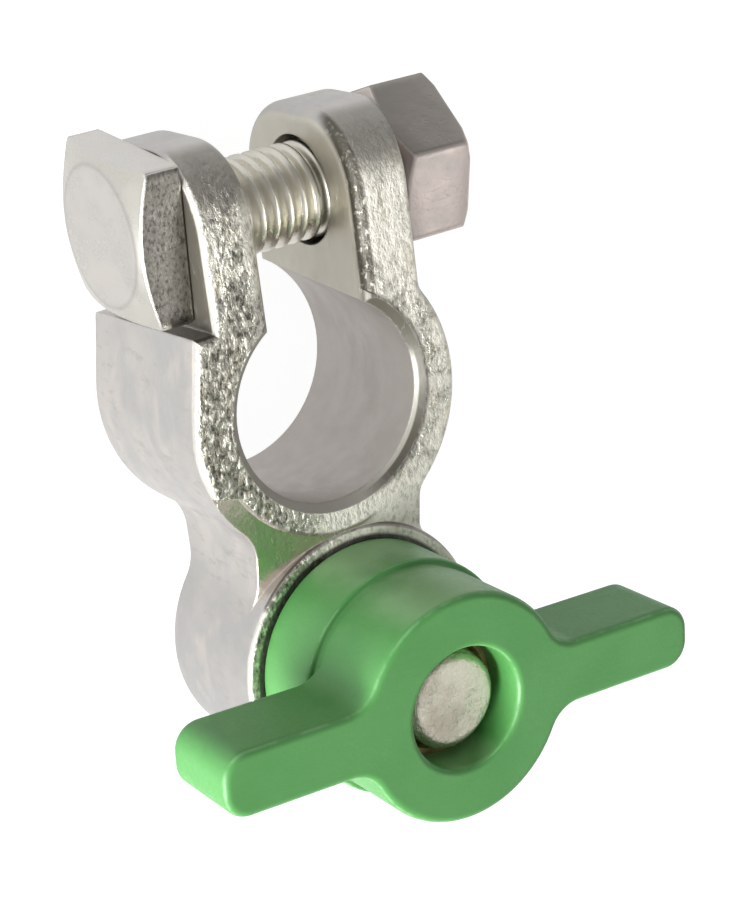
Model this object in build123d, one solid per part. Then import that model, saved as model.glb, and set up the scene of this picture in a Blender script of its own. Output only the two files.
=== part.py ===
from build123d import *
import math
import os

os.makedirs("parts", exist_ok=True)

# Battery terminal clamp, millimetres.
# Origin: centre of the post bore at the underside of the ring.
# +Z up along the post and the stud, +X along the clamp bolt from head to nut,
# +Y from the stud boss towards the split ears.

# casting, height of ring and ears
body_height = 16.4

# post bore, a 1 in 9 taper on diameter with a bevel at its mouth
bore_radius_bottom = 9.0
bore_taper_ratio = 9.0
bore_radius_top = bore_radius_bottom - body_height / bore_taper_ratio / 2
bevel_outer_radius = 8.8
bevel_depth = 0.7

# ring wall, a little thicker on the head side
ring_radius = 11.85
ring_centre_x = -0.3
ring_centre_y = -0.2

# flank with the drafted ledge that stops the square head turning
flank_x = -10.9
ledge_y = 8.0
ledge_back_y = 7.25

# ears
gap_half_width = 4.3
ear_outer_x = 9.2
ear_top_y = 21.3
nut_seat_x = 10.25
seat_half_height = 2.4
seat_edge_radius = 8.0
ear_corner_radius = 6.2
ear_root_fillet = 1.6
bolt_axis_y = 14.65
bolt_axis_z = body_height / 2
bolt_hole_radius = 4.45

# stud boss and the neck that carries it
boss_y = -21.4
boss_radius = 10.85
boss_bottom_z = 4.1
neck_left_x = -8.1
neck_right_x = 7.2
neck_left_fillet = 4.0
neck_right_fillet = 2.0

# shallow slope between ring face and boss rim
web_start_radius = 10.2
web_half_width = 15.0
web_left_y = -3.6
web_right_y = -11.0
web_end_y = -23.0
web_slope_run = 9.0
web_slope_drop = 2.1

# casting edge rounding
edge_radius = 0.6
ear_inner_edge_radius = 1.3
boss_edge_radius = 0.45

# M8 x 1.25 threads, drawn as plain cylinders at their major diameter
thread_radius = 3.93
thread_clearance = 0.05

# square head clamp bolt
head_across_flats = 12.3
head_thickness = 4.0
head_flat_radius = 5.5
head_chamfer_angle = 22.0
head_seat_gap = 0.05
head_turn = 6.0
head_offset = 0.55
bolt_length = 26.5
bolt_end_chamfer = 0.7

# hexagon clamp nut
nut_across_flats = 12.6
nut_thickness = 6.05
nut_turn = -16.3
nut_chamfer_angle = 30.0
nut_end_chamfer = 0.6
nut_seat_gap = 0.05

# terminal stud
stud_bottom_z = 7.0
stud_top_z = 28.5
stud_end_chamfer = 0.6

# wing nut moulding
seat_gap = 0.05
skirt_radius = 9.6
skirt_top_z = 22.6
hub_radius = 9.15
wing_front_z = 30.3
wing_back_z = 22.75
wing_turn = -4.1
wing_half_span = 21.5
wing_offset = 0.3
wing_width = 5.2
wing_tip_fillet = 2.1
wing_root_fillet = 2.8
wing_edge_radius = 0.6
socket_radius = 4.85
socket_depth = 3.9
socket_rim_radius = 0.5

# threaded insert moulded into the wing nut
insert_radius = 6.2
insert_flange_radius = 7.2
insert_flange_thickness = 1.2
insert_top_z = wing_front_z - socket_depth


def ringOutline():
    # ring disc and the flank that runs tangent into it
    ring = Pos(ring_centre_x, ring_centre_y) * Circle(ring_radius)
    out_x = ring_centre_x - flank_x
    out_y = ledge_y - ring_centre_y
    reach = math.hypot(out_x, out_y)
    touch = math.atan2(out_y, -out_x) + math.acos(ring_radius / reach)
    touch_x = ring_centre_x + ring_radius * math.cos(touch)
    touch_y = ring_centre_y + ring_radius * math.sin(touch)
    corners = [(0, 0), (0, ledge_y), (flank_x, ledge_y), (touch_x, touch_y)]
    flank = make_face(Polyline(corners, close=True))
    return ring + flank


def earBar():
    # both ears as one bar along Y, the nut's side drafted out to a flat seat at mid height
    low = body_height / 2 - seat_half_height
    high = body_height / 2 + seat_half_height
    section = [(-ear_outer_x, 0), (ear_outer_x, 0), (nut_seat_x, low), (nut_seat_x, high)]
    section += [(ear_outer_x, body_height), (-ear_outer_x, body_height)]
    bar = extrude(Plane.XZ * make_face(Polyline(section, close=True)), -ear_top_y)
    seat = onPlane(bar, "X", nut_seat_x).filter_by(Axis.Y)
    return fillet(seat, seat_edge_radius)


def neckOutline():
    # boss disc, neck strip and the ring disc they blend into
    ring = Pos(ring_centre_x, ring_centre_y) * Circle(ring_radius)
    boss = Pos(0, boss_y) * Circle(boss_radius)
    neck_width = neck_right_x - neck_left_x
    neck_middle = (neck_right_x + neck_left_x) / 2
    neck = Pos(neck_middle, boss_y / 2) * Rectangle(neck_width, -boss_y)
    outline = ring + boss + neck
    low = outline.vertices().filter_by(lambda v: v.Y < -5 and v.Y > -18)
    left_corners = low.filter_by(lambda v: v.X < 0)
    outline = fillet(left_corners, neck_left_fillet)
    low = outline.vertices().filter_by(lambda v: v.Y < -5 and v.Y > -18)
    right_corners = low.filter_by(lambda v: abs(v.X - neck_right_x) < 0.01)
    return fillet(right_corners, neck_right_fillet)


def earProfile():
    # side view of the ears, square shoulders rounded by one radius
    side = Pos(ear_top_y / 2 - 20, body_height / 2) * Rectangle(ear_top_y + 40, body_height)
    shoulders = side.vertices().filter_by(lambda v: v.X > 0)
    side = fillet(shoulders, ear_corner_radius)
    return side


def webCutter():
    # everything above a shallow cone that falls away towards the boss, from one slanted line on
    cone_top = web_start_radius
    cone_bottom = web_start_radius + web_slope_run
    cone = Pos(0, 0, body_height - web_slope_drop / 2) * Cone(
        cone_bottom, cone_top, web_slope_drop
    )
    corners = [(-web_half_width, web_left_y), (web_half_width, web_right_y)]
    corners += [(web_half_width, web_end_y), (-web_half_width, web_end_y)]
    block = extrude(make_face(Polyline(corners, close=True)), web_slope_drop + 1)
    block = Pos(0, 0, body_height - web_slope_drop + 0.001) * block
    top_plate = Pos(0, 0, body_height + 0.5) * Cylinder(web_start_radius, 1.0)
    return block - cone - top_plate


def postBore():
    # tapered hole with a bevelled mouth
    taper = Pos(0, 0, body_height / 2) * Cone(
        bore_radius_bottom, bore_radius_top, body_height
    )
    bevel_z = body_height - bevel_depth
    bevel_inner = bore_radius_bottom - bevel_z / bore_taper_ratio / 2
    bevel = Pos(0, 0, body_height - bevel_depth / 2) * Cone(
        bevel_inner, bevel_outer_radius, bevel_depth
    )
    return taper + bevel


def onPlane(shape, axis, value):
    # edges that lie wholly in one plane square to an axis
    def inPlane(edge):
        box = edge.bounding_box()
        low = {"X": box.min.X, "Y": box.min.Y, "Z": box.min.Z}[axis]
        high = {"X": box.max.X, "Y": box.max.Y, "Z": box.max.Z}[axis]
        return abs(low - value) < 0.01 and abs(high - value) < 0.01

    return shape.edges().filter_by(inPlane)


def notSeam(edge):
    # the lines where flat faces run smoothly into the ear shoulders stay as they are
    shoulder_y = ear_top_y - ear_corner_radius
    on_shoulder = abs(edge.center().Y - shoulder_y) < 0.02
    across = abs(edge.center().X) > gap_half_width
    straight = abs(edge.length - (ear_outer_x - gap_half_width)) < 0.01
    return not (on_shoulder and across and straight)


def makeRing():
    # ring with its ledge and ears, split by the slot, edges rounded as cast
    draft = [(ledge_y, body_height), (ledge_y + 1, body_height)]
    draft += [(ledge_y + 1, 0), (ledge_back_y, 0)]
    wedge = extrude(Plane.YZ * make_face(Polyline(draft, close=True)), -20)
    ring = extrude(ringOutline(), body_height) - wedge + earBar()
    root = ring.edges().filter_by(lambda e: e.center().X > ear_outer_x - 0.01)
    root = root.filter_by(lambda e: e.center().Y > 2 and e.center().Y < 9)
    root = root.filter_by(lambda e: e.bounding_box().size.Z > 1)
    ring = fillet(root, ear_root_fillet)
    ring &= extrude(Plane.YZ * earProfile(), 30, both=True)
    slot_length = ear_top_y + 8
    ring -= Pos(0, slot_length / 2 - 4, body_height / 2) * Box(
        2 * gap_half_width, slot_length, body_height + 2
    )

    inner = onPlane(ring, "X", gap_half_width) + onPlane(ring, "X", -gap_half_width)
    inner = inner.filter_by(lambda e: e.center().Y > 0)
    ring = fillet(inner, ear_inner_edge_radius)

    outline = onPlane(ring, "Z", body_height) + onPlane(ring, "Z", 0.0)
    outline = outline.filter_by(lambda e: abs(e.center().X) > gap_half_width + 2 or e.center().Y < -5)
    outline = outline.filter_by(lambda e: notSeam(e) and e.center().Y < ledge_y + 5)
    outer = ring.edges().filter_by(lambda e: e.center().Y > ledge_y + 5)
    outer = outer.filter_by(lambda e: min(abs(v.X) for v in e.vertices()) > ear_outer_x - 0.01)
    outer = outer.filter_by(lambda e: e.bounding_box().size.Z > 0.5 or e.center().Z in (0, body_height))
    ring = fillet(outline + outer, edge_radius)
    return ring


def makeNeck():
    # neck and boss blank, raised above the underside of the ring
    height = body_height - boss_bottom_z
    neck = extrude(neckOutline(), height)
    neck = fillet(onPlane(neck, "Z", 0.0) + onPlane(neck, "Z", height), edge_radius)
    neck &= Pos(0, -42, height / 2) * Box(80, 80, height)
    return Pos(0, 0, boss_bottom_z) * neck


def makeBoss():
    # round stud boss with its raised rim
    height = body_height - boss_bottom_z
    boss = Pos(0, boss_y, boss_bottom_z + height / 2) * Cylinder(boss_radius, height)
    boss = fillet(onPlane(boss, "Z", boss_bottom_z), edge_radius)
    boss = fillet(onPlane(boss, "Z", body_height), boss_edge_radius)
    return boss


def makeClampBody():
    body = makeRing() + makeNeck()
    body -= webCutter()
    body += makeBoss()
    body -= postBore()
    hole = Cylinder(bolt_hole_radius, 60)
    body -= Pos(0, bolt_axis_y, bolt_axis_z) * Rot(0, 90, 0) * hole
    socket_height = body_height - stud_bottom_z
    socket = Cylinder(thread_radius, socket_height + 2)
    body -= Pos(0, boss_y, stud_bottom_z + socket_height / 2 + 1) * socket
    return body


def makeClampBolt():
    # square head turned to a flat circle on its outer face, shank along +X;
    # the head is forged a little off the shank's axis, towards the ear tops
    corner = head_across_flats / math.sqrt(2)
    drop = (corner - head_flat_radius) * math.tan(math.radians(head_chamfer_angle))
    square = Box(head_across_flats, head_across_flats, head_thickness)
    turned = Cylinder(corner + 1, head_thickness - drop)
    turned = Pos(0, 0, drop / 2) * turned
    cone = Cone(head_flat_radius, corner, drop)
    envelope = Pos(0, 0, -head_thickness / 2 + drop / 2) * cone + turned
    head = square & envelope
    head = Pos(0, head_offset, head_thickness / 2) * Rot(0, 0, head_turn) * head
    shank = Pos(0, 0, head_thickness + bolt_length / 2) * Cylinder(thread_radius, bolt_length)
    shank = chamfer(onPlane(shank, "Z", head_thickness + bolt_length), bolt_end_chamfer)
    bolt = Rot(0, 90, 0) * (head + shank)
    seat_x = -ear_outer_x - head_seat_gap
    return Pos(seat_x - head_thickness, bolt_axis_y, bolt_axis_z) * bolt


def makeClampNut():
    # hexagon nut, its corners chamfered deeply on the seat face and lightly on the outer face
    corner = nut_across_flats / math.sqrt(3)
    drop = (corner - nut_across_flats / 2 + 0.1) * math.tan(math.radians(nut_chamfer_angle))
    hexagon = extrude(RegularPolygon(corner, 6), nut_thickness)
    barrel = Pos(0, 0, nut_thickness / 2) * Cylinder(corner + 0.01, nut_thickness)
    barrel = chamfer(onPlane(barrel, "Z", 0.0), length=drop, length2=corner - nut_across_flats / 2 + 0.1)
    end_drop = nut_end_chamfer * math.tan(math.radians(nut_chamfer_angle))
    barrel = chamfer(onPlane(barrel, "Z", nut_thickness), length=end_drop, length2=nut_end_chamfer)
    nut = hexagon & barrel
    nut -= Pos(0, 0, nut_thickness / 2) * Cylinder(thread_radius + thread_clearance, nut_thickness + 2)
    nut = Rot(0, 90, 0) * Rot(0, 0, nut_turn) * nut
    return Pos(nut_seat_x + nut_seat_gap, bolt_axis_y, bolt_axis_z) * nut


def makeTerminalStud():
    # threaded stud fixed in the boss
    height = stud_top_z - stud_bottom_z
    stud = Pos(0, boss_y, stud_bottom_z + height / 2) * Cylinder(thread_radius, height)
    stud = chamfer(onPlane(stud, "Z", stud_top_z), stud_end_chamfer)
    return stud


def wingOutline():
    # hub disc with two straight wings, tips and roots rounded
    bar = Pos(wing_offset, 0) * Rectangle(2 * wing_half_span, wing_width)
    bar = fillet(bar.vertices(), wing_tip_fillet)
    hub = Circle(hub_radius)
    plan = hub + bar
    inside = plan.vertices().filter_by(lambda v: math.hypot(v.X, v.Y) < hub_radius + 0.1)
    return fillet(inside, wing_root_fillet)


def makeSocket():
    # round hole in the front of the hub with a rolled rim
    hole = Pos(0, 0, wing_front_z - socket_depth / 2) * Cylinder(socket_radius, socket_depth)
    rim_radius = socket_radius + socket_rim_radius
    rim_z = wing_front_z - socket_rim_radius
    flare = Pos(0, 0, rim_z + socket_rim_radius / 2) * Cylinder(rim_radius, socket_rim_radius)
    roll = Pos(0, 0, rim_z) * Torus(rim_radius, socket_rim_radius)
    return hole + (flare - roll)


def makeWingNut():
    # plastic skirt, hub and wings with a round socket in the front
    seat_z = body_height + seat_gap
    wings = extrude(wingOutline(), wing_front_z - wing_back_z)
    wings = fillet(onPlane(wings, "Z", wing_front_z - wing_back_z), wing_edge_radius)
    wings = fillet(onPlane(wings, "Z", 0.0), wing_edge_radius)
    wings = Pos(0, 0, wing_back_z) * Rot(0, 0, wing_turn) * wings
    core_height = wing_front_z - seat_z - 2
    core = Pos(0, 0, seat_z + core_height / 2) * Cylinder(hub_radius - 0.02, core_height)
    skirt_height = skirt_top_z - seat_z
    skirt = Pos(0, 0, seat_z + skirt_height / 2) * Cylinder(skirt_radius, skirt_height)
    skirt = fillet(skirt.edges().filter_by(GeomType.CIRCLE), 0.3)
    body = wings + core + skirt
    body -= makeSocket()
    body -= Pos(0, -boss_y, 0) * makeInsertBlank()
    return Pos(0, boss_y, 0) * body


def makeInsertBlank():
    # stepped outside of the threaded insert
    seat_z = body_height + seat_gap
    height = insert_top_z - seat_z
    barrel = Pos(0, 0, seat_z + height / 2) * Cylinder(insert_radius, height)
    flange = Pos(0, 0, seat_z + insert_flange_thickness / 2) * Cylinder(
        insert_flange_radius, insert_flange_thickness
    )
    return Pos(0, boss_y, 0) * (barrel + flange)


def makeWingNutInsert():
    seat_z = body_height + seat_gap
    height = insert_top_z - seat_z
    insert = makeInsertBlank()
    bore = Cylinder(thread_radius + thread_clearance, height + 2)
    insert -= Pos(0, boss_y, seat_z + height / 2) * bore
    ends = onPlane(insert, "Z", seat_z) + onPlane(insert, "Z", insert_top_z)
    ends = ends.filter_by(GeomType.CIRCLE)
    ends = ends.filter_by(lambda e: e.radius < thread_radius + 1)
    return chamfer(ends, 0.5)


parts = {
    "clamp_body": makeClampBody(),
    "clamp_bolt": makeClampBolt(),
    "clamp_nut": makeClampNut(),
    "terminal_stud": makeTerminalStud(),
    "wing_nut": makeWingNut(),
    "wing_nut_insert": makeWingNutInsert(),
}

for name, shape in parts.items():
    print(name, round(shape.volume, 1), shape.is_valid, len(shape.solids()))
    export_step(shape, "parts/" + name + ".step")
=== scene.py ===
import math
import bpy
import numpy as np
from mathutils import Matrix


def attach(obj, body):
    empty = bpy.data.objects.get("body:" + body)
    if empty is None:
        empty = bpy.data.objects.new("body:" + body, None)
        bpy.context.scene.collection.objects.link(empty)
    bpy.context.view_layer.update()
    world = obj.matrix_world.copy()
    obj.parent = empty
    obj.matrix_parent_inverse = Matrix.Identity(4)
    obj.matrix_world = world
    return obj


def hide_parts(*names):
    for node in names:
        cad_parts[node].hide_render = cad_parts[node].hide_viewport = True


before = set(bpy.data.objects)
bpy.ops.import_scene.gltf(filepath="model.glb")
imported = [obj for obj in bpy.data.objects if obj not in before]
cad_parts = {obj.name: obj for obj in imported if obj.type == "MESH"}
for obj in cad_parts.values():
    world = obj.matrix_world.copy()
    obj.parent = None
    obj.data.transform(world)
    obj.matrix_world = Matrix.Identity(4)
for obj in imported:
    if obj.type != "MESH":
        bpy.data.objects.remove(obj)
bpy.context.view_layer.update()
mm = 0.001
boltAxisY, boltAxisZ = 14.65, 8.2       # the clamp bolt runs along X through here, in millimetres
studAxisY = -21.4                       # the stud stands along Z here
headCentre = (0.0, 15.2, 8.2)           # middle of the bolt head, a little off the bolt's axis

viewpoint = {
    "lens": 89.52,
    "place": (-0.082781, 0.056006, 0.156003),
    "right": (0.82189347, -0.11705947, 0.55748381),
    "up": (0.28754508, 0.93007885, -0.22862885),
    "back": (-0.49174073, 0.34821029, 0.79808561),
}


def aimCamera(view):
    camData = bpy.data.cameras.new("productCamera")
    camData.lens = view["lens"]
    camData.sensor_width = 36.0
    camData.clip_start = 0.01
    camera = bpy.data.objects.new("productCamera", camData)
    bpy.context.scene.collection.objects.link(camera)
    turned = Matrix((view["right"], view["up"], view["back"])).transposed()
    camera.matrix_world = Matrix.Translation(view["place"]) @ turned.to_4x4()
    bpy.context.scene.camera = camera
    return camera


aimCamera(viewpoint)
print("camera set")


def nodeIn(tree, kind, **settings):
    node = tree.nodes.new(kind)
    for key, value in settings.items():
        setattr(node, key, value)
    return node


def setInputs(node, **values):
    # input sockets by name, spaces written as underscores
    for key, value in values.items():
        node.inputs[key.replace("_", " ")].default_value = value


def mathNode(tree, operation, first, second=None, clamp=False):
    node = nodeIn(tree, "ShaderNodeMath", operation=operation, use_clamp=clamp)
    for slot, value in ((0, first), (1, second)):
        if value is None:
            continue
        if isinstance(value, (int, float)):
            node.inputs[slot].default_value = value
        else:
            tree.links.new(value, node.inputs[slot])
    return node.outputs[0]


def product(tree, *factors):
    result = factors[0]
    for factor in factors[1:]:
        result = mathNode(tree, "MULTIPLY", result, factor)
    return result


def total(tree, *terms):
    result = terms[0]
    for term in terms[1:]:
        result = mathNode(tree, "ADD", result, term)
    return result


def distanceFrom(tree, position, kept, centre):
    # length of position - centre, counting only the kept axes
    offset = tuple(-keep * middle for keep, middle in zip(kept, centre))
    flat = nodeIn(tree, "ShaderNodeVectorMath", operation="MULTIPLY_ADD")
    flat.inputs[1].default_value = kept
    flat.inputs[2].default_value = offset
    tree.links.new(position, flat.inputs[0])
    length = nodeIn(tree, "ShaderNodeVectorMath", operation="LENGTH")
    tree.links.new(flat.outputs[0], length.inputs[0])
    return length.outputs["Value"]


def softStep(tree, value, low, high, outLow=0.0, outHigh=1.0):
    # smooth ramp of value from outLow at low to outHigh at high
    node = nodeIn(tree, "ShaderNodeMapRange", interpolation_type="SMOOTHSTEP")
    setInputs(node, From_Min=low, From_Max=high, To_Min=outLow, To_Max=outHigh)
    tree.links.new(value, node.inputs["Value"])
    return node.outputs["Result"]


def blendColour(tree, factor, first, second):
    # first where factor is 0, second where it is 1
    node = nodeIn(tree, "ShaderNodeMix", data_type="RGBA")
    for slot, value in ((0, factor), (6, first), (7, second)):
        if isinstance(value, (int, float)):
            node.inputs[slot].default_value = value
        elif isinstance(value, tuple):
            node.inputs[slot].default_value = (*value, 1.0)
        else:
            tree.links.new(value, node.inputs[slot])
    return node.outputs[2]


def noiseAt(tree, position, scale, detail=4.0, rough=0.55, warp=0.0):
    node = nodeIn(tree, "ShaderNodeTexNoise")
    setInputs(node, Scale=scale, Detail=detail, Roughness=rough, Distortion=warp)
    tree.links.new(position, node.inputs["Vector"])
    return node.outputs["Fac"]


def stretched(tree, position, scale, turn=(0.0, 0.0, 0.0)):
    node = nodeIn(tree, "ShaderNodeMapping")
    setInputs(node, Rotation=turn, Scale=scale)
    tree.links.new(position, node.inputs["Vector"])
    return node.outputs["Vector"]


def newGroup(name, inputs, outputs):
    # inputs: name -> (socket type, default); outputs: name -> socket type
    group = bpy.data.node_groups.new(name, "ShaderNodeTree")
    for label, (kind, default) in inputs.items():
        socket = group.interface.new_socket(label, in_out="INPUT", socket_type=kind)
        if default is not None:
            socket.default_value = default
    for label, kind in outputs.items():
        group.interface.new_socket(label, in_out="OUTPUT", socket_type=kind)
    entry = group.nodes.new("NodeGroupInput")
    leave = group.nodes.new("NodeGroupOutput")
    return group, entry.outputs, leave.inputs


def placeGroup(tree, group, position=None, **values):
    node = nodeIn(tree, "ShaderNodeGroup", node_tree=group)
    if position is not None:
        tree.links.new(position, node.inputs["Position"])
    setInputs(node, **values)
    return node.outputs


floatKind, vectorKind = "NodeSocketFloat", "NodeSocketVector"


def makeMillimetres():
    # object coordinates and object normal, with positions in millimetres
    group, _, leave = newGroup("millimetres", {}, {
        "Position": vectorKind, "X": floatKind, "Y": floatKind, "Z": floatKind,
        "Facing X": floatKind, "Facing Y": floatKind, "Facing Z": floatKind})
    coords = nodeIn(group, "ShaderNodeTexCoord")
    scaled = nodeIn(group, "ShaderNodeVectorMath", operation="SCALE")
    scaled.inputs["Scale"].default_value = 1000.0
    group.links.new(coords.outputs["Object"], scaled.inputs[0])
    group.links.new(scaled.outputs[0], leave["Position"])
    place = nodeIn(group, "ShaderNodeSeparateXYZ")
    facing = nodeIn(group, "ShaderNodeSeparateXYZ")
    group.links.new(scaled.outputs[0], place.inputs[0])
    group.links.new(coords.outputs["Normal"], facing.inputs[0])
    for axis in "XYZ":
        group.links.new(place.outputs[axis], leave[axis])
        group.links.new(facing.outputs[axis], leave["Facing " + axis])
    return group


def makeEdgeWearAndHighlight():
    # mask = how far the rounded normal turns from the true one, broken up by noise
    group, entry, leave = newGroup("edgeWearAndHighlight", {
        "Position": (vectorKind, None), "Radius": (floatKind, 0.0005),
        "Gain": (floatKind, 6.0), "Breakup": (floatKind, 0.5), "Grain": (floatKind, 1.2)},
        {"Mask": floatKind, "Normal": vectorKind})
    bevel = nodeIn(group, "ShaderNodeBevel", samples=6)
    group.links.new(entry["Radius"], bevel.inputs["Radius"])
    geometry = nodeIn(group, "ShaderNodeNewGeometry")
    dot = nodeIn(group, "ShaderNodeVectorMath", operation="DOT_PRODUCT")
    group.links.new(bevel.outputs[0], dot.inputs[0])
    group.links.new(geometry.outputs["Normal"], dot.inputs[1])
    turned = mathNode(group, "SUBTRACT", 1.0, dot.outputs["Value"])
    lifted = mathNode(group, "MULTIPLY", turned, entry["Gain"], clamp=True)
    grain = nodeIn(group, "ShaderNodeTexNoise")
    setInputs(grain, Detail=5.0, Roughness=0.6)
    group.links.new(entry["Position"], grain.inputs["Vector"])
    group.links.new(entry["Grain"], grain.inputs["Scale"])
    chipped = softStep(group, grain.outputs["Fac"], 0.35, 0.6)
    rest = mathNode(group, "SUBTRACT", 1.0, entry["Breakup"])
    share = total(group, product(group, chipped, entry["Breakup"]), rest)
    group.links.new(mathNode(group, "MULTIPLY", lifted, share, clamp=True), leave["Mask"])
    group.links.new(bevel.outputs[0], leave["Normal"])
    return group


def makeCastSkin():
    # height = coarse lumps + middle waves + fine grain; pits and glints = the two ends of the grain
    group, entry, leave = newGroup("castSkin", {
        "Position": (vectorKind, None), "Grain": (floatKind, 2.4), "Lumps": (floatKind, 0.55)},
        {"Height": floatKind, "Pits": floatKind, "Glints": floatKind, "Tone": floatKind})
    drawn = stretched(group, entry["Position"], (1.2, 0.7, 1.0))

    def grainNoise(factor, detail, rough, warp=0.0):
        node = nodeIn(group, "ShaderNodeTexNoise")
        setInputs(node, Detail=detail, Roughness=rough, Distortion=warp)
        group.links.new(drawn, node.inputs["Vector"])
        group.links.new(product(group, entry["Grain"], factor), node.inputs["Scale"])
        return node.outputs["Fac"]

    fine = grainNoise(1.1, 4.0, 0.6, 0.15)
    broad = nodeIn(group, "ShaderNodeTexNoise")
    setInputs(broad, Detail=3.0, Roughness=0.5)
    group.links.new(entry["Position"], broad.inputs["Vector"])
    group.links.new(entry["Lumps"], broad.inputs["Scale"])
    middle = product(group, grainNoise(0.28, 2.0, 0.5), 1.2)
    lumps = product(group, broad.outputs["Fac"], 1.4)
    group.links.new(total(group, fine, middle, lumps), leave["Height"])
    group.links.new(softStep(group, fine, 0.475, 0.37), leave["Pits"])
    group.links.new(softStep(group, fine, 0.53, 0.64), leave["Glints"])
    group.links.new(broad.outputs["Fac"], leave["Tone"])
    return group


def makeScratches():
    # thin lines = the middle band of a noise drawn out along one axis
    group, entry, leave = newGroup("scratches", {
        "Position": (vectorKind, None), "Stretch": (vectorKind, (1.0, 1.0, 1.0)),
        "Turn": (vectorKind, (0.0, 0.0, 0.0)), "Width": (floatKind, 0.015),
        "Amount": (floatKind, 0.5)},
        {"Lines": floatKind, "Height": floatKind})
    mapping = nodeIn(group, "ShaderNodeMapping")
    group.links.new(entry["Position"], mapping.inputs["Vector"])
    group.links.new(entry["Stretch"], mapping.inputs["Scale"])
    group.links.new(entry["Turn"], mapping.inputs["Rotation"])
    streak = noiseAt(group, mapping.outputs[0], 1.0, 2.0, 0.5)
    away = mathNode(group, "ABSOLUTE", mathNode(group, "SUBTRACT", streak, 0.5))
    near = mathNode(group, "DIVIDE", away, entry["Width"])
    line = mathNode(group, "SUBTRACT", 1.0, near, clamp=True)
    patch = softStep(group, noiseAt(group, entry["Position"], 0.35, 2.0), 0.42, 0.62)
    drawn = product(group, line, patch)
    drawn = mathNode(group, "MULTIPLY", drawn, entry["Amount"], clamp=True)
    group.links.new(drawn, leave["Lines"])
    group.links.new(mathNode(group, "SUBTRACT", 1.0, drawn), leave["Height"])
    return group


millimetres = makeMillimetres()
edgeWearAndHighlight = makeEdgeWearAndHighlight()
castSkin = makeCastSkin()
scratches = makeScratches()
print("effects made")


def startMaterial(name, **fixed):
    material = bpy.data.materials.new(name)
    material.use_nodes = True
    tree = material.node_tree
    shader = next(n for n in tree.nodes if n.type == "BSDF_PRINCIPLED")
    setInputs(shader, **fixed)
    where = placeGroup(tree, millimetres)
    return material, tree, shader, where


def finishSurface(tree, shader, colour, roughness, height, depth, normal=None, strength=1.0):
    # colour and roughness to the shader, height through a bump of the given depth in metres
    tree.links.new(colour, shader.inputs["Base Color"])
    tree.links.new(roughness, shader.inputs["Roughness"])
    bump = nodeIn(tree, "ShaderNodeBump")
    setInputs(bump, Strength=strength, Distance=depth)
    tree.links.new(height, bump.inputs["Height"])
    if normal is not None:
        tree.links.new(normal, bump.inputs["Normal"])
    tree.links.new(bump.outputs["Normal"], shader.inputs["Normal"])


# edge is partly wear and partly a painted highlight; glint is a painted highlight
castLook = {
    "side": (0.56, 0.54, 0.52), "sideWarm": (0.59, 0.545, 0.51), "sideCool": (0.51, 0.50, 0.49),
    "smudge": (0.42, 0.405, 0.38), "bore": (0.50, 0.465, 0.435), "inner": (0.63, 0.605, 0.53),
    "web": (0.80, 0.69, 0.60), "shoulderShade": (0.27, 0.255, 0.23), "skirtShadow": (0.10, 0.095, 0.08),
    "faceShadedEnd": (0.37, 0.355, 0.305), "faceLitEnd": (0.95, 0.92, 0.82), "olive": (0.60, 0.555, 0.43),
    "pit": (0.085, 0.08, 0.066), "glint": (1.0, 0.965, 0.87), "edge": (0.98, 0.95, 0.88),
    "lipShade": (0.10, 0.092, 0.073), "lipPale": (0.42, 0.405, 0.36), "gapShadow": (0.085, 0.077, 0.062),
    "faceDepth": 0.36 * mm, "grain": 2.2, "lumps": 0.5,
}

# where each patch of the casting begins and where it is full, in millimetres from the bore's centre
# or, for a tilt, in parts of the unit normal; a third and fourth value are the patch's own levels
castZones = {
    "frontTilt": (0.30, 0.80), "boreWall": (9.3, 9.1),
    "webLevel": (16.38, 16.30), "webStart": (-7.2, -7.4), "webTilt": (0.90, 0.955), "webEnd": (4.0, 0.5),
    "bevelLevel": (15.5, 15.68), "bevelOut": (9.0, 8.85), "bevelTilt": (0.97, 0.9),
    "slotTilt": (0.8, 0.95), "slotReach": (7.0, 6.6),
    "belowBoreHighlight": (-6.5, -9.5), "belowBoreHighlightAcross": (-7.0, 1.0), "earsPaintedLight": (4.0, 12.0, 0.0, 13.0),
    "laneWidth": (1.5, 0.4), "laneSide": (-2.0, -6.0), "laneBroken": (0.40, 0.56, 0.2, 1.0),
    "shoulderUp": (0.15, 0.5), "shoulderTilt": (0.15, 0.45),
    "lipSide": (1.0, 5.0), "lipIn": (8.30, 8.42), "lipOut": (9.25, 8.75), "lipLevel": (15.6, 15.75),
    "lipTopShade": (0.5, 2.5),
    "gapTilt": (-0.7, -0.9), "gapFoot": (7.6, 8.2), "gapSide": (-8.9, -9.1),
    "earEdgeLean": (-0.15, -0.4), "earEdgeTilt": (0.2, 0.45), "earEdgeSide": (-8.2, -8.6),
    "slotEdgeLean": (-0.12, -0.4), "slotEdgeTilt": (0.12, 0.4), "slotEdgeSide": (2.0, 2.4),
    "slotEdgeFoot": (5.5, 6.5), "skirtShadowOut": (10.15, 9.8), "skirtShadowIn": (9.1, 9.4),
    "bossRim": (-13.5, -11.5, 0.4, 1.0),
}
webSlant = 0.247            # the web's upper border drops this much for each millimetre to the right
laneCentre = 10.3           # middle of the ring's face, from the bore's axis
earShift = 3.4              # from the middle of an ear's face to that of the ring's


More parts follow.
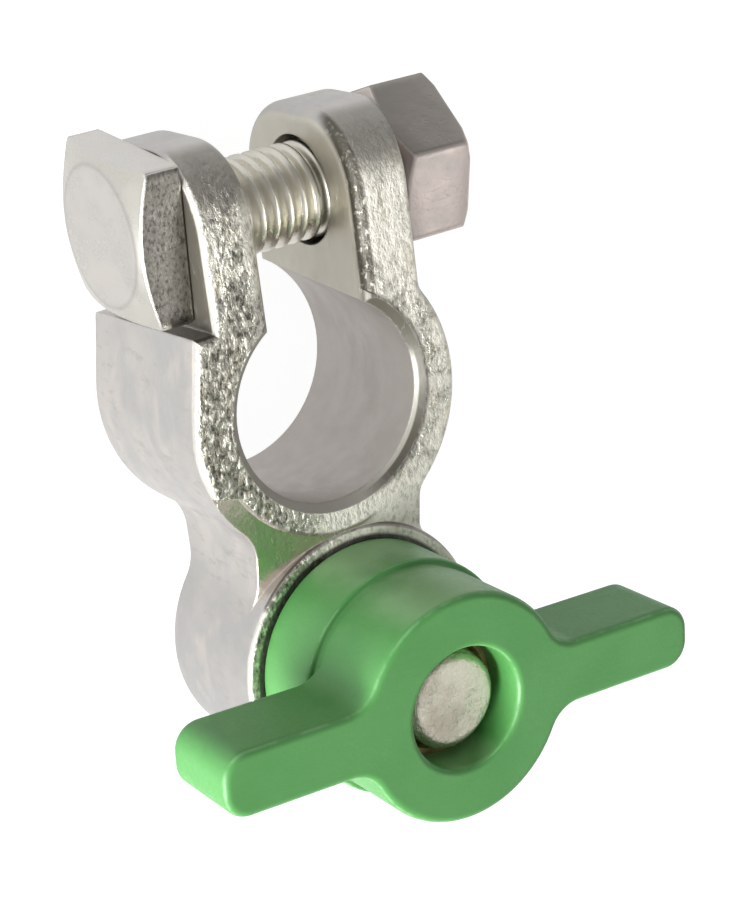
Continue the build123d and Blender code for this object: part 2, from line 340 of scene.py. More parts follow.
def castMasks(tree, at, zones):
    # each mask = product of soft steps over place and tilt, one for each border of its patch
    def zone(name, value):
        return softStep(tree, value, *zones[name])

    across, along, level = at["X"], at["Y"], at["Z"]
    leanX, leanY, leanZ = at["Facing X"], at["Facing Y"], at["Facing Z"]
    fromBore = distanceFrom(tree, at["Position"], (1.0, 1.0, 0.0), (0.0, 0.0, 0.0))
    fromStud = distanceFrom(tree, at["Position"], (1.0, 1.0, 0.0), (0.0, studAxisY, 0.0))
    aside = mathNode(tree, "ABSOLUTE", across)
    masks = {}
    masks["bore"] = zone("boreWall", fromBore)
    slant = total(tree, along, product(tree, across, webSlant))
    masks["web"] = product(tree, zone("webLevel", level), zone("webStart", slant),
                           zone("webTilt", leanZ), zone("webEnd", across))
    masks["bevel"] = product(tree, zone("bevelLevel", level), zone("bevelOut", fromBore),
                             zone("bevelTilt", leanZ))
    smooth = mathNode(tree, "MAXIMUM", masks["web"], masks["bevel"])
    masks["rough"] = mathNode(tree, "SUBTRACT", zone("frontTilt", leanZ),
                              product(tree, smooth, 0.92), clamp=True)
    masks["slot"] = product(tree, zone("slotTilt", mathNode(tree, "ABSOLUTE", leanX)),
                            zone("slotReach", aside))
    # painted highlight on the ring's face under the bore
    masks["belowBoreHighlight"] = product(tree, zone("belowBoreHighlight", along), zone("belowBoreHighlightAcross", across))
    # painted light on the ears' faces
    masks["ears"] = zone("earsPaintedLight", along)
    middle = mathNode(tree, "MINIMUM", fromBore, total(tree, aside, earShift))
    offLane = mathNode(tree, "ABSOLUTE", mathNode(tree, "SUBTRACT", middle, laneCentre))
    masks["lane"] = product(tree, zone("laneWidth", offLane), zone("laneSide", across))
    # painted shade on surfaces that face up and forward, such as the ears' shoulders
    masks["shoulderShade"] = product(tree, zone("shoulderUp", leanY), zone("shoulderTilt", leanZ))
    # painted shade in a band round the right side of the bore's mouth, and on the bevel's upper right
    lipSide = zone("lipSide", across)
    masks["lipShade"] = product(tree, zone("lipIn", fromBore), zone("lipOut", fromBore),
                           zone("lipLevel", level), lipSide)
    masks["lipTopShade"] = product(tree, zone("lipTopShade", along), lipSide, masks["bevel"])
    # painted shadow where the ear's side shows beside the bolt head
    masks["gapShadow"] = product(tree, zone("gapTilt", leanX), zone("gapFoot", along),
                           zone("gapSide", across))
    # painted highlight on the ear's rounded outer front edge
    masks["earEdgeHighlight"] = product(tree, zone("earEdgeLean", leanX), zone("earEdgeTilt", leanZ),
                               zone("earEdgeSide", across))
    masks["slotEdge"] = product(tree, zone("slotEdgeLean", leanX), zone("slotEdgeTilt", leanZ),
                                zone("slotEdgeSide", across), zone("slotEdgeFoot", along))
    # painted shadow of the wing nut's skirt on the boss round its seat
    masks["skirtShadow"] = product(tree, zone("skirtShadowOut", fromStud), zone("skirtShadowIn", fromStud))
    masks["bossRim"] = zone("bossRim", along)
    return masks


def castSide(tree, look, masks, broad, cloudy, smudged):
    # machined and cast sides: three pale tones and smudges broken up by broad noise
    colour = blendColour(tree, softStep(tree, broad, 0.4, 0.6), look["sideCool"], look["side"])
    colour = blendColour(tree, softStep(tree, cloudy, 0.5, 0.75), colour, look["sideWarm"])
    spots = product(tree, softStep(tree, smudged, 0.53, 0.66), softStep(tree, broad, 0.42, 0.6))
    colour = blendColour(tree, product(tree, spots, 0.6), colour, look["smudge"])
    colour = blendColour(tree, masks["bore"], colour, look["bore"])
    colour = blendColour(tree, masks["slot"], colour, look["inner"])
    return blendColour(tree, masks["web"], colour, look["web"])


def castPaintedLightAndTone(tree, at, zones, masks, smudged):
    # painted light and random tone: soft step of 0.9 X (painted light, paler to the right) + painted light
    # on the ears + a painted highlight under the bore + random patches - a dark lane down the head side's
    # middle
    patches = noiseAt(tree, at["Position"], 0.6, 6.0, 0.65, 0.5)
    lane = product(tree, masks["lane"], softStep(tree, smudged, *zones["laneBroken"]))
    lean = mathNode(tree, "SUBTRACT", product(tree, at["X"], 0.9), 9.0)
    lean = total(tree, lean, masks["ears"], product(tree, masks["belowBoreHighlight"], 24.0),
                 product(tree, patches, 52.0), product(tree, lane, -17.0))
    return softStep(tree, lean, -1.0, 38.0)


def castFace(tree, look, at, paintedLightAndTone, pits, glints):
    # rough front: from its painted-shade end to its painted-light end, stained olive, pitted where dark
    # and with painted glints
    colour = blendColour(tree, paintedLightAndTone, look["faceShadedEnd"], look["faceLitEnd"])
    stained = noiseAt(tree, stretched(tree, at["Position"], (1.3, 0.6, 0.8)), 0.8, 4.0, 0.6)
    colour = blendColour(tree, softStep(tree, stained, 0.52, 0.68, 0.0, 0.7), colour, look["olive"])
    colour = blendColour(tree, pits, colour, look["pit"])
    return blendColour(tree, glints, colour, look["glint"])


def castRims(tree, colour, look, masks, glints):
    # the bevel's own grey, then painted shade on the shoulders, round the mouth of the bore, in the gap by
    # the bolt head, on the slot's edges and round the skirt's seat, and a painted highlight on the ear
    # edges
    # painted shade on the slot's rounded edges, lighter where the grain glints
    unlit = product(tree, masks["slotEdge"], softStep(tree, glints, 1.0, 0.0, 0.5, 0.95))
    for share, tone in ((product(tree, masks["shoulderShade"], 0.85), "shoulderShade"),
                        (masks["bevel"], "lipPale"), (masks["lipShade"], "lipShade"), (masks["lipTopShade"], "lipShade"),
                        (masks["gapShadow"], "gapShadow"), (product(tree, masks["earEdgeHighlight"], 0.8), "edge"),
                        (unlit, "lipShade"), (masks["skirtShadow"], "skirtShadow")):
        colour = blendColour(tree, share, colour, look[tone])
    return colour


def makeCastTin(look, zones):
    material, tree, shader, at = startMaterial("castTin", Metallic=1.0, IOR=1.5)
    skin = placeGroup(tree, castSkin, at["Position"], Grain=look["grain"], Lumps=look["lumps"])
    lines = placeGroup(tree, scratches, at["Position"], Stretch=(1.6, 0.22, 0.9),
                       Turn=(0.0, 0.0, 0.15), Width=0.02, Amount=0.5)
    wearAndHighlight = placeGroup(tree, edgeWearAndHighlight, at["Position"], Radius=0.25 * mm, Gain=4.0,
                      Breakup=0.8, Grain=1.5)
    masks = castMasks(tree, at, zones)
    rough, web = masks["rough"], masks["web"]
    broad = noiseAt(tree, at["Position"], 0.16, 3.0, 0.6)
    cloudy = noiseAt(tree, stretched(tree, at["Position"], (0.6, 0.25, 0.6)), 1.0, 4.0, 0.6)
    smudged = noiseAt(tree, stretched(tree, at["Position"], (1.0, 0.8, 0.3)), 1.3, 5.0, 0.65)
    paintedLightAndTone = castPaintedLightAndTone(tree, at, zones, masks, smudged)
    pits = product(tree, skin["Pits"], softStep(tree, paintedLightAndTone, 1.0, 0.0, 0.3, 1.0))
    glints = product(tree, skin["Glints"], softStep(tree, paintedLightAndTone, 1.0, 0.0, 0.5, 1.0))
    side = castSide(tree, look, masks, broad, cloudy, smudged)
    face = castFace(tree, look, at, paintedLightAndTone, pits, glints)
    colour = castRims(tree, blendColour(tree, rough, side, face), look, masks, skin["Glints"])
    # edges: wear and a painted highlight in the edge colour
    colour = blendColour(tree, product(tree, wearAndHighlight["Mask"], 0.6), colour, look["edge"])
    colour = blendColour(tree, product(tree, lines["Lines"], 0.35), colour, look["sideCool"])
    sideRough = softStep(tree, cloudy, 0.3, 0.7, 0.34, 0.46)
    sideRough = mathNode(tree, "SUBTRACT", sideRough, product(tree, web, 0.14))
    faceRough = softStep(tree, skin["Tone"], 0.3, 0.7, 0.30, 0.46)
    roughness = nodeIn(tree, "ShaderNodeMix", data_type="FLOAT")
    tree.links.new(rough, roughness.inputs[0])
    tree.links.new(sideRough, roughness.inputs[2])
    tree.links.new(faceRough, roughness.inputs[3])
    # metal = 1 - frost, where frost is strong on the pale end of the front and on the rims
    frost = total(tree, softStep(tree, paintedLightAndTone, 0.6, 1.0, 0.08, 0.75), product(tree, pits, 0.4))
    frost = total(tree, product(tree, frost, rough), product(tree, web, 0.012))
    for name, share in (("bevel", 0.85), ("lipShade", 0.85), ("gapShadow", 0.8), ("earEdgeHighlight", 0.4)):
        frost = mathNode(tree, "MAXIMUM", frost, product(tree, masks[name], share))
    tree.links.new(mathNode(tree, "SUBTRACT", 1.0, frost, clamp=True), shader.inputs["Metallic"])
    # height: deep grain on the dark front, less on its pale end and the boss rim, a trace elsewhere
    relief = product(tree, rough, softStep(tree, paintedLightAndTone, 1.0, 0.2, 0.5, 0.72), masks["bossRim"])
    height = product(tree, skin["Height"], total(tree, relief, 0.05))
    height = total(tree, height, product(tree, lines["Height"], 0.05))
    finishSurface(tree, shader, colour, roughness.outputs[0], height, look["faceDepth"],
                  wearAndHighlight["Normal"])
    return material


# edge is partly wear and partly a painted highlight
steelLook = {
    "polished": (0.60, 0.58, 0.555), "polishedSecond": (0.63, 0.60, 0.565),
    "pink": (0.66, 0.575, 0.54), "pinkSecond": (0.625, 0.56, 0.53), "shade": (0.21, 0.20, 0.18),
    "end": (0.88, 0.83, 0.72), "endSecond": (0.74, 0.68, 0.57),
    "dull": (0.32, 0.305, 0.272), "pit": (0.13, 0.125, 0.11), "edge": (0.97, 0.94, 0.87),
    "thread": (0.79, 0.765, 0.69), "threadTopShade": (0.66, 0.635, 0.57), "threadLowHighlight": (1.0, 0.97, 0.88),
    "corner": (0.59, 0.575, 0.525), "ring": (0.50, 0.485, 0.46),
}
headZones = {
    "faceTilt": (-0.8, -0.9), "corner": (5.4, 5.9), "ringRadius": 5.5, "ringSharpness": 3.5,
    "shank": (-9.27, -9.23), "head": (-9.23, -9.27), "threadTopShade": (0.1, 0.7), "threadLowHighlight": (-0.2, -0.8),
    "speckledTilt": (0.80, 0.96),
}


def boltTones(tree, look, zones, at, skin, colour):
    # head: turned flat with a faint line of painted shade round it, creamier corners and one dark speckled
    # side;
    # shank: pale thread with painted shade on top and a painted highlight below
    def zone(name, value):
        return softStep(tree, value, *zones[name])

    fromAxis = distanceFrom(tree, at["Position"], (0.0, 1.0, 1.0), headCentre)
    onFace = zone("faceTilt", at["Facing X"])
    colour = blendColour(tree, product(tree, zone("corner", fromAxis), onFace), colour, look["corner"])
    # painted shade: a dark line where the head's flat meets its cone
    offRing = mathNode(tree, "ABSOLUTE", mathNode(tree, "SUBTRACT", fromAxis, zones["ringRadius"]))
    line = mathNode(tree, "SUBTRACT", 1.0, product(tree, offRing, zones["ringSharpness"]), clamp=True)
    colour = blendColour(tree, product(tree, line, onFace), colour, look["ring"])
    thread = blendColour(tree, zone("threadTopShade", at["Facing Y"]), look["thread"], look["threadTopShade"])
    thread = blendColour(tree, zone("threadLowHighlight", at["Facing Y"]), thread, look["threadLowHighlight"])
    colour = blendColour(tree, zone("shank", at["X"]), colour, thread)
    speckled = product(tree, zone("speckledTilt", at["Facing Z"]), zone("head", at["X"]))
    dark = blendColour(tree, product(tree, skin["Pits"], 0.8), look["dull"], look["pit"])
    dark = blendColour(tree, product(tree, skin["Glints"], 0.15), dark, look["edge"])
    return blendColour(tree, speckled, colour, dark), speckled


def makeSteel(look, name, tone, speckledHead=False, smooth=0.24, depth=0.12 * mm, skinShare=0.05,
              upperShade=0.0):
    # two steel tones in clouds, scratched, with bright edges that are partly wear and partly a painted
    # highlight, and painted shade on faces turned up where upperShade is set
    material, tree, shader, at = startMaterial(name, Metallic=1.0, IOR=1.5)
    skin = placeGroup(tree, castSkin, at["Position"], Grain=3.4, Lumps=0.5)
    lines = placeGroup(tree, scratches, at["Position"], Stretch=(0.5, 1.7, 0.35),
                       Turn=(0.3, 0.0, 0.5), Width=0.016, Amount=0.6)
    wearAndHighlight = placeGroup(tree, edgeWearAndHighlight, at["Position"], Radius=0.35 * mm, Gain=5.0,
                      Breakup=0.4, Grain=2.0)
    cloudy = noiseAt(tree, at["Position"], 0.3, 4.0, 0.6)
    colour = blendColour(tree, softStep(tree, cloudy, 0.4, 0.65), look[tone], look[tone + "Second"])
    if speckledHead:
        colour, speckled = boltTones(tree, look, headZones, at, skin, colour)
        amount = total(tree, product(tree, speckled, 0.36), skinShare)
    else:
        colour = blendColour(tree, softStep(tree, at["Facing Y"], 0.35, 0.75, 0.0, upperShade), colour,
                             look["shade"])
        amount = total(tree, product(tree, skin["Tone"], skinShare), skinShare)
    # edges: wear and a painted highlight in the edge colour
    colour = blendColour(tree, product(tree, wearAndHighlight["Mask"], 0.8), colour, look["edge"])
    colour = blendColour(tree, product(tree, lines["Lines"], 0.3), colour, look["dull"])
    roughness = softStep(tree, cloudy, 0.3, 0.7, smooth, smooth + 0.12)
    height = total(tree, product(tree, skin["Height"], amount), product(tree, lines["Height"], 0.08))
    finishSurface(tree, shader, colour, roughness, height, depth, wearAndHighlight["Normal"])
    return material


plasticLook = {
    "green": (0.076, 0.285, 0.070), "light": (0.115, 0.355, 0.105), "deep": (0.05, 0.215, 0.05),
    "wearAndHighlight": (0.27, 0.53, 0.26), "sheen": (0.24, 0.46, 0.205),
    "hubSide": (9.5, 6.5), "hubTopTilt": (0.8, 0.98), "edgeTilt": 0.62, "edgeWidth": (0.24, 0.04),
}


def makeGreenPlastic(look):
    # clouded green with flow streaks, a painted sheen where the round top faces up, and paler edges that
    # are partly wear and partly a painted highlight
    material, tree, shader, at = startMaterial("greenPlastic", Metallic=0.0, IOR=1.5)
    wearAndHighlight = placeGroup(tree, edgeWearAndHighlight, at["Position"], Radius=0.3 * mm, Gain=7.0,
                      Breakup=0.5, Grain=0.8)
    lines = placeGroup(tree, scratches, at["Position"], Stretch=(0.4, 1.3, 0.6),
                       Turn=(0.2, 0.1, 0.8), Width=0.01, Amount=0.35)
    cloudy = noiseAt(tree, at["Position"], 0.12, 3.0, 0.55)
    fine = noiseAt(tree, at["Position"], 3.2, 3.0, 0.55)
    edgeBreakup = noiseAt(tree, at["Position"], 0.55, 4.0, 0.6)
    flow = noiseAt(tree, stretched(tree, at["Position"], (0.09, 0.5, 0.4), (0.0, 0.0, 0.07)), 1.0, 3.0)
    colour = blendColour(tree, softStep(tree, cloudy, 0.35, 0.65, 0.0, 0.35), look["green"], look["light"])
    colour = blendColour(tree, softStep(tree, flow, 0.55, 0.75, 0.0, 0.2), colour, look["deep"])
    onHub = softStep(tree, mathNode(tree, "ABSOLUTE", at["X"]), *look["hubSide"])
    sheen = product(tree, softStep(tree, at["Facing Y"], *look["hubTopTilt"]), onHub,
                    softStep(tree, cloudy, 0.35, 0.55, 0.4, 1.0))
    colour = blendColour(tree, sheen, colour, look["sheen"])
    # pale band along the rounded edges: partly wear, partly painted highlight
    offEdge = mathNode(tree, "ABSOLUTE", mathNode(tree, "SUBTRACT", at["Facing Z"], look["edgeTilt"]))
    rounded = product(tree, softStep(tree, offEdge, *look["edgeWidth"]),
                      softStep(tree, edgeBreakup, 0.40, 0.58, 0.15, 1.0))
    rounded = mathNode(tree, "MAXIMUM", rounded, wearAndHighlight["Mask"])
    colour = blendColour(tree, product(tree, rounded, 0.5), colour, look["wearAndHighlight"])
    colour = blendColour(tree, product(tree, lines["Lines"], 0.25), colour, look["wearAndHighlight"])
    roughness = softStep(tree, fine, 0.3, 0.7, 0.36, 0.48)
    height = total(tree, product(tree, fine, 0.25), product(tree, flow, 0.9))
    finishSurface(tree, shader, colour, roughness, height, 0.06 * mm, wearAndHighlight["Normal"])
    return material


def makeInsertBrass():
    material, tree, shader, at = startMaterial("insertBrass", Metallic=1.0, IOR=1.5)
    cloudy = noiseAt(tree, at["Position"], 0.8, 4.0, 0.6)
    turned = noiseAt(tree, stretched(tree, at["Position"], (0.5, 0.5, 6.0)), 1.0, 3.0, 0.6)
    colour = blendColour(tree, softStep(tree, cloudy, 0.35, 0.65), (0.42, 0.32, 0.15), (0.60, 0.48, 0.26))
    roughness = softStep(tree, cloudy, 0.3, 0.7, 0.3, 0.5)
    finishSurface(tree, shader, colour, roughness, turned, 0.05 * mm)
    return material


castTin = makeCastTin(castLook, castZones)
boltSteel = makeSteel(steelLook, "boltSteel", "polished", speckledHead=True)
nutSteel = makeSteel(steelLook, "nutSteel", "pink", smooth=0.26, upperShade=0.85)
studSteel = makeSteel(steelLook, "studSteel", "end", smooth=0.36, depth=0.2 * mm, skinShare=0.35)
greenPlastic = makeGreenPlastic(plasticLook)
insertBrass = makeInsertBrass()


def giveMaterial(piece, material):
    slots = piece.data.materials
    if len(slots) == 0:
        slots.append(material)
    for index in range(len(slots)):
        slots[index] = material


for nodeName, material in (("clamp_body", castTin), ("wing_nut", greenPlastic),
                           ("wing_nut_insert", insertBrass)):
    giveMaterial(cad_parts[nodeName], material)
print("materials made")


def gridPiece(name, points, closedRows=False):
    # points[row, column] in metres, columns run round an axis; first and last rows are poles
    # unless closedRows, where the last row joins the first
    rows, columns, _ = points.shape
    nextColumn = (np.arange(columns) + 1) % columns
    if closedRows:
        vertices = points.reshape(-1, 3)
        here = np.arange(rows)[:, None] * columns
        there = ((np.arange(rows) + 1) % rows)[:, None] * columns
        quads = np.stack([here + np.arange(columns), here + nextColumn,
                          there + nextColumn, there + np.arange(columns)], axis=-1).reshape(-1, 4)
        loops = quads.reshape(-1)
        sizes = np.full(len(quads), 4)
    else:
        body = points[1:-1]
        first, last = points[0].mean(0), points[-1].mean(0)
        vertices = np.concatenate([first[None], body.reshape(-1, 3), last[None]])
        here = 1 + np.arange(rows - 3)[:, None] * columns
        there = here + columns
        quads = np.stack([here + np.arange(columns), here + nextColumn,
                          there + nextColumn, there + np.arange(columns)], axis=-1).reshape(-1, 4)
        final = len(vertices) - 1
        ring = 1 + (rows - 3) * columns
        capA = np.stack([np.zeros(columns, int), 1 + nextColumn, 1 + np.arange(columns)], axis=-1)
        capB = np.stack([np.full(columns, final), ring + np.arange(columns), ring + nextColumn], axis=-1)
        loops = np.concatenate([quads.reshape(-1), capA.reshape(-1), capB.reshape(-1)])
        sizes = np.concatenate([np.full(len(quads), 4), np.full(2 * columns, 3)])
    mesh = bpy.data.meshes.new(name)
    mesh.vertices.add(len(vertices))
    mesh.vertices.foreach_set("co", vertices.astype(np.float32).reshape(-1))
    mesh.loops.add(len(loops))
    mesh.loops.foreach_set("vertex_index", loops.astype(np.int32))
    mesh.polygons.add(len(sizes))
    starts = np.concatenate([[0], np.cumsum(sizes)[:-1]])
    mesh.polygons.foreach_set("loop_start", starts.astype(np.int32))
    mesh.polygons.foreach_set("use_smooth", np.ones(len(sizes), bool))
    mesh.update(calc_edges=True)
    mesh.validate()
    piece = bpy.data.objects.new(name, mesh)
    bpy.context.scene.collection.objects.link(piece)
    return piece


def alongAxis(radius, height, angles, axis, foot):
    # radius[row, column] and height[row, column] in millimetres round an axis through foot
    across, upward, along = axis
    ring = np.stack([np.cos(angles), np.sin(angles)], axis=-1)
    place = (radius[..., None] * (ring[..., :1] * across + ring[..., 1:] * upward)
             + height[..., None] * along)
    return (place + foot) * mm


def threadRadius(height, angles, thread):
    # crest - depth * groove, where groove is a flattened triangle wave of height / pitch - angle / turn,
    # fading to nothing at the run-outs
    phase = (height[:, None] / thread["pitch"] - angles[None, :] / (2 * math.pi)) % 1.0
    wave = 1.0 - np.abs(2.0 * phase - 1.0)
    groove = np.clip((wave - thread["crestFlat"]) / (1 - thread["crestFlat"] - thread["rootFlat"]), 0, 1)
    groove = groove * groove * (3 - 2 * groove) * 0.35 + groove * 0.65
    fade = np.clip((height - thread["start"]) / thread["pitch"], 0, 1)
    fade *= np.clip((thread["end"] - height) / (0.6 * thread["pitch"]), 0, 1)
    return thread["crest"] - thread["depth"] * groove * fade[:, None]


def squareRadius(angles, across, turn, power):
    # distance from the axis to a square, softened at its corners by a high-power mean
    sway = (angles - turn + math.pi / 4) % (math.pi / 2) - math.pi / 4
    return across / 2 / (np.abs(np.cos(sway)) ** power + np.abs(np.sin(sway)) ** power) ** (1 / power)


def hexRadius(angles, across, turn):
    # distance from the axis to a hexagon's flat nearest to each angle
    sway = (angles - turn) % (math.pi / 3) - math.pi / 6
    return across / 2 / np.cos(sway)


axisX = (np.array([0.0, 0.0, -1.0]), np.array([0.0, 1.0, 0.0]), np.array([1.0, 0.0, 0.0]))
axisZ = (np.array([1.0, 0.0, 0.0]), np.array([0.0, 1.0, 0.0]), np.array([0.0, 0.0, 1.0]))

threadForm = {"pitch": 1.25, "crest": 3.93, "depth": 0.72, "crestFlat": 0.32, "rootFlat": 0.06}

clampBolt = {
    "across": 12.3, "thickness": 4.0, "flat": 5.5, "slope": math.radians(22.0),
    "turn": math.radians(6.0), "cornerPower": 60.0, "edge": 0.22, "crease": 0.12, "headOffset": 0.55,
    "outerX": -13.25, "endX": 17.25, "endChamfer": 0.7,
    "thread": {**threadForm, "start": 4.1, "end": 30.1},
    "columns": 160, "rowsPerTurn": 14,
}


def makeClampBoltPiece(size):
    # from the pole of the head's outer face, out over its flat and cone, down its square side,
    # in under the head, along the threaded shank and over its chamfer to the pole of its end
    angles = np.linspace(0, 2 * math.pi, size["columns"], endpoint=False)
    square = squareRadius(angles, size["across"], size["turn"], size["cornerPower"])
    slope, edge, thick = math.tan(size["slope"]), size["edge"], size["thickness"]

    def coneHeight(radius):
        return np.maximum(radius - size["flat"], 0) * slope

    crease = size["flat"] + size["crease"]                          # where the cone begins
    radii = [np.full_like(angles, size["flat"] * share) for share in (0.0, 0.25, 0.5, 0.8)]
    radii.append(np.full_like(angles, size["flat"] - size["crease"]))
    radii.append(np.full_like(angles, crease))
    for share in (0.25, 0.5, 0.75):
        radii.append(crease + (square - edge - crease) * share)
    radii.append(square - edge)
    heights = [coneHeight(r) for r in radii]
    for lean in (25, 50, 75):                                       # rounded edge of the outer face
        turn = math.radians(lean)
        radii.append(square - edge + edge * math.sin(turn))
        heights.append(coneHeight(square - edge) + edge * (1 - math.cos(turn)))
    top = coneHeight(square - edge) + edge
    for share in (0.0, 0.25, 0.5, 0.75, 1.0):
        radii.append(square)
        heights.append(top + (thick - edge - top) * share)
    for lean in (25, 50, 75, 90):                                   # rounded edge of the seat
        turn = math.radians(lean)
        radii.append(square - edge + edge * math.cos(turn))
        heights.append(np.full_like(angles, thick - edge + edge * math.sin(turn)))
    shankRadius = size["thread"]["crest"]
    seatShares = (0.6, 0.25, 0.06)
    for share in seatShares:
        radii.append(shankRadius + (square - edge - shankRadius) * share)
        heights.append(np.full_like(angles, thick))
    length = size["endX"] - size["outerX"]
    step = size["thread"]["pitch"] / size["rowsPerTurn"]
    shank = np.arange(thick + 0.02, length - 0.01, step)
    grooves = threadRadius(shank, angles, size["thread"])
    chamferStart = length - size["endChamfer"]
    limit = shankRadius - np.clip(shank - chamferStart, 0, None)
    grooves = np.minimum(grooves, limit[:, None])
    endRadius = shankRadius - size["endChamfer"]
    radius = np.concatenate([np.array(radii), grooves,
                             [np.full_like(angles, endRadius * s) for s in (0.98, 0.6, 0.3, 0.0)]])
    height = np.concatenate([np.array(heights), np.repeat(shank[:, None], len(angles), axis=1),
                             np.full((4, len(angles)), length)])
    foot = np.array([size["outerX"], boltAxisY, boltAxisZ])
    points = alongAxis(radius, height, angles, axisX, foot)
    aside = np.zeros(len(radius))                                   # the head sits off the shank's axis
    aside[:len(radii)] = size["headOffset"]
    aside[len(radii) - len(seatShares):len(radii)] *= np.array(seatShares)
    points[..., 1] += aside[:, None] * mm
    return gridPiece("clampBolt", points)


terminalStud = {
    "footZ": 7.0, "topZ": 28.5, "endChamfer": 0.6,
    "thread": {**threadForm, "start": 9.6, "end": 21.2},
    "columns": 128, "rowsPerTurn": 14,
}


def makeTerminalStudPiece(size):
    # a flat foot, the shank with its thread above the boss, a chamfer and a flat end
    angles = np.linspace(0, 2 * math.pi, size["columns"], endpoint=False)
    crest = size["thread"]["crest"]
    length = size["topZ"] - size["footZ"]
    step = size["thread"]["pitch"] / size["rowsPerTurn"]
    shank = np.arange(0.01, length - 0.01, step)
    grooves = threadRadius(shank, angles, size["thread"])
    limit = crest - np.clip(shank - (length - size["endChamfer"]), 0, None)
    grooves = np.minimum(grooves, limit[:, None])
    feet = np.array([0.0, 0.5, 0.97]) * crest
    ends = np.array([0.985, 0.9, 0.7, 0.4, 0.2, 0.0]) * (crest - size["endChamfer"])
    radius = np.concatenate([np.repeat(feet[:, None], len(angles), 1), grooves,
                             np.repeat(ends[:, None], len(angles), 1)])
    endHeights = np.full(len(ends), length)
    height = np.concatenate([np.zeros(len(feet)), shank, endHeights])
    height = np.repeat(height[:, None], len(angles), 1)
    foot = np.array([0.0, studAxisY, size["footZ"]])
    return gridPiece("terminalStud", alongAxis(radius, height, angles, axisZ, foot))


clampNut = {
    "across": 12.6, "thickness": 6.05, "endChamfer": 0.6, "turn": math.radians(-16.3), "bore": 3.98,
    "flat": 6.1, "slope": math.radians(30.0), "edge": 0.18, "seatX": 10.3, "columns": 192,
}


def makeClampNutPiece(size):
    # closed ring: out over the seat face and its cone, along the hexagon's flats,
    # in over the outer face with its light corner chamfer, and back along the bore
    angles = np.linspace(0, 2 * math.pi, size["columns"], endpoint=False)
    hexagon = hexRadius(angles, size["across"], size["turn"])
    slope, edge, thick = math.tan(size["slope"]), size["edge"], size["thickness"]
    rim = np.full_like(angles, size["bore"] + 0.45)
    flat = np.full_like(angles, size["flat"])
    radii = [rim, (rim + flat) / 2, flat - 0.1, flat + 0.1]
    outer = hexagon - edge
    radii += [flat + 0.1 + (outer - flat - 0.1) * share for share in (0.35, 0.7, 1.0)]
    heights = [np.maximum(r - size["flat"], 0) * slope for r in radii]
    base = heights[-1]
    for lean in (30, 60, 90):
        turn = math.radians(lean)
        radii.append(outer + edge * math.sin(turn))
        heights.append(base + edge * (1 - math.cos(turn)))
    plain = size["across"] / math.sqrt(3) - size["endChamfer"]      # radius where the end chamfer starts

    def endHeight(radius):
        return thick - np.maximum(radius - plain, 0) * slope

    top = endHeight(hexagon)
    for share in (0.35, 0.7, 1.0):
        radii.append(hexagon)
        heights.append(base + edge + (top - base - 2 * edge) * share)
    for lean in (30, 60, 90):                                       # rounded edge of the outer face
        turn = math.radians(lean)
        radii.append(outer + edge * math.cos(turn))
        heights.append(np.minimum(top - edge + edge * math.sin(turn), endHeight(outer)))
    for share in (0.9, 0.75, 0.4, 0.1, 0.0):
        radii.append(rim + (outer - rim) * share)
        heights.append(endHeight(radii[-1]))
    bore = np.full_like(angles, size["bore"])
    for level in (thick - 0.45, thick * 0.5, 0.45):
        radii.append(bore)
        heights.append(np.full_like(angles, level))
    foot = np.array([size["seatX"], boltAxisY, boltAxisZ])
    points = alongAxis(np.array(radii), np.array(heights), angles, axisX, foot)
    return gridPiece("clampNut", points, closedRows=True)


bolt = makeClampBoltPiece(clampBolt)
giveMaterial(bolt, boltSteel)
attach(bolt, "clamp")
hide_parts("clamp_bolt")

stud = makeTerminalStudPiece(terminalStud)
giveMaterial(stud, studSteel)
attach(stud, "clamp")
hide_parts("terminal_stud")

nut = makeClampNutPiece(clampNut)
giveMaterial(nut, nutSteel)
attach(nut, "nut")
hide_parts("clamp_nut")
print("pieces made")


floorLook = {"reach": 3.0, "matt": 0.8, "mattSeen": 0.24, "glowSeen": 0.74, "glowToCamera": 0.185}


def makeFloor(look):
    # white to the camera and in reflections, with a faint shadow; plain matt white to other light
    mesh = bpy.data.meshes.new("floor")
    reach = look["reach"]
    corners = [(-reach, -reach, 0), (reach, -reach, 0), (reach, reach, 0), (-reach, reach, 0)]
    mesh.from_pydata(corners, [], [(0, 1, 2, 3)])
    floor = bpy.data.objects.new("floor", mesh)
    bpy.context.scene.collection.objects.link(floor)
    material = bpy.data.materials.new("floorWhite")
    material.use_nodes = True
    tree = material.node_tree
    tree.nodes.clear()
    output = nodeIn(tree, "ShaderNodeOutputMaterial")
    path = nodeIn(tree, "ShaderNodeLightPath")
    seen = mathNode(tree, "MAXIMUM", path.outputs["Is Camera Ray"], path.outputs["Is Glossy Ray"])
    seen = mathNode(tree, "MAXIMUM", seen, path.outputs["Is Transmission Ray"])
    matt = nodeIn(tree, "ShaderNodeBsdfDiffuse")
    grey = blendColour(tree, seen, (look["matt"],) * 3, (look["mattSeen"],) * 3)
    tree.links.new(grey, matt.inputs["Color"])
    glow = nodeIn(tree, "ShaderNodeEmission")
    strength = total(tree, product(tree, path.outputs["Is Camera Ray"], look["glowToCamera"]),
                     product(tree, seen, look["glowSeen"]))
    tree.links.new(strength, glow.inputs["Strength"])
    both = nodeIn(tree, "ShaderNodeAddShader")
    tree.links.new(matt.outputs[0], both.inputs[0])
    tree.links.new(glow.outputs[0], both.inputs[1])
    tree.links.new(both.outputs[0], output.inputs["Surface"])
    mesh.materials.append(material)


roomLook = {
    "strength": 0.46, "darkStrength": 0.32, "colour": (1.0, 0.985, 0.965),
    "darkToward": (0.75, -0.35),        # from the ears' side round to the boss's, as the sky's Y
    "whiteBelow": (0.34, 0.12),         # where reflections of the backdrop fade in, as the sky's Z
}


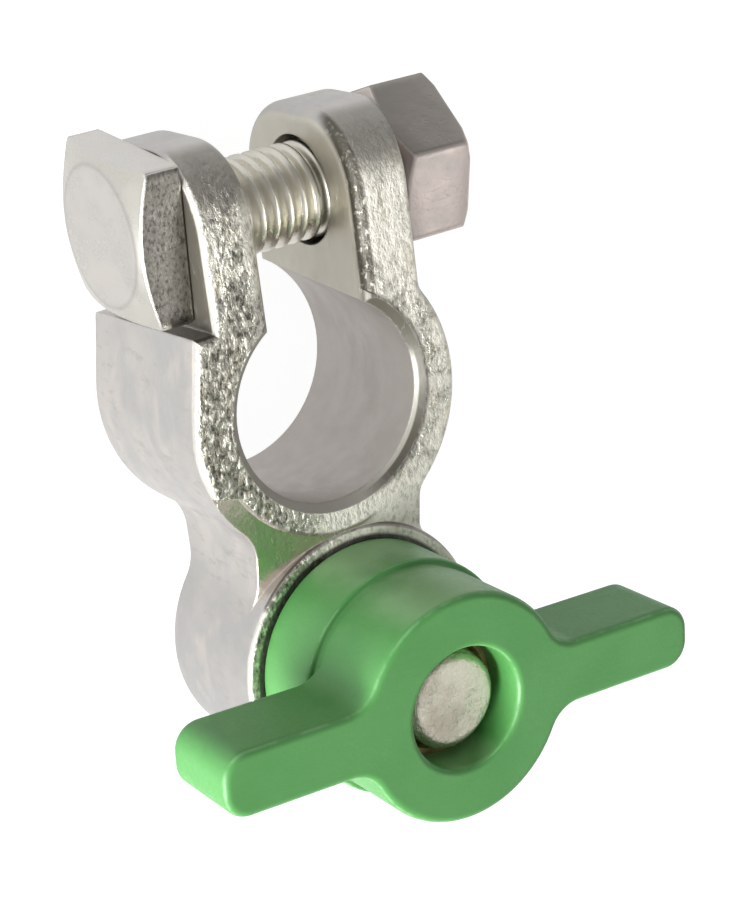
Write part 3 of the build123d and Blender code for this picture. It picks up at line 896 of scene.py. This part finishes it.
def makeWorld(look):
    # soft room, a little darker beyond the ears, behind a white backdrop that the camera sees
    # everywhere and metal sees up to about 20 degrees above the floor
    world = bpy.data.worlds.new("studio")
    bpy.context.scene.world = world
    world.use_nodes = True
    tree = world.node_tree
    tree.nodes.clear()
    output = nodeIn(tree, "ShaderNodeOutputWorld")
    coords = nodeIn(tree, "ShaderNodeTexCoord")
    split = nodeIn(tree, "ShaderNodeSeparateXYZ")
    tree.links.new(coords.outputs["Generated"], split.inputs[0])
    shade = softStep(tree, split.outputs["Y"], *look["darkToward"], look["darkStrength"], look["strength"])
    room = nodeIn(tree, "ShaderNodeBackground")
    tree.links.new(shade, room.inputs["Strength"])
    room.inputs["Color"].default_value = (*look["colour"], 1.0)
    white = nodeIn(tree, "ShaderNodeBackground")
    setInputs(white, Strength=1.0, Color=(1.0, 1.0, 1.0, 1.0))
    path = nodeIn(tree, "ShaderNodeLightPath")
    mixed = nodeIn(tree, "ShaderNodeMixShader")
    shiny = mathNode(tree, "MAXIMUM", path.outputs["Is Glossy Ray"], path.outputs["Is Transmission Ray"])
    shiny = product(tree, shiny, softStep(tree, split.outputs["Z"], *look["whiteBelow"]))
    seen = mathNode(tree, "MAXIMUM", path.outputs["Is Camera Ray"], shiny)
    tree.links.new(seen, mixed.inputs[0])
    tree.links.new(room.outputs[0], mixed.inputs[1])
    tree.links.new(white.outputs[0], mixed.inputs[2])
    tree.links.new(mixed.outputs[0], output.inputs["Surface"])


lamps = {
    "softboxLeft": {"place": (-0.50, -0.17, 0.18), "size": (0.34, 0.26), "power": 6.4},
    "softboxRight": {"place": (0.34, -0.26, 0.50), "size": (0.26, 0.34), "power": 0.28},
    "softboxTop": {"place": (-0.05, 0.10, 0.60), "size": (0.30, 0.20), "power": 0.06},
}


lampTarget = np.array((0.0, -0.003, 0.012))      # middle of the clamp, in metres


def makeLamps(table):
    for name, lamp in table.items():
        data = bpy.data.lights.new(name, "AREA")
        data.shape = "RECTANGLE"
        data.size, data.size_y = lamp["size"]
        data.energy = lamp["power"]
        light = bpy.data.objects.new(name, data)
        bpy.context.scene.collection.objects.link(light)
        back = np.array(lamp["place"]) - lampTarget
        back = back / np.linalg.norm(back)
        right = np.cross((0.0, 0.0, 1.0), back)
        right = right / np.linalg.norm(right)
        up = np.cross(back, right)
        light.matrix_world = (Matrix.Translation(lamp["place"])
                              @ Matrix((right, up, back)).transposed().to_4x4())


makeFloor(floorLook)
makeWorld(roomLook)
makeLamps(lamps)
bpy.context.scene.view_settings.view_transform = "Standard"
print("stage lit")
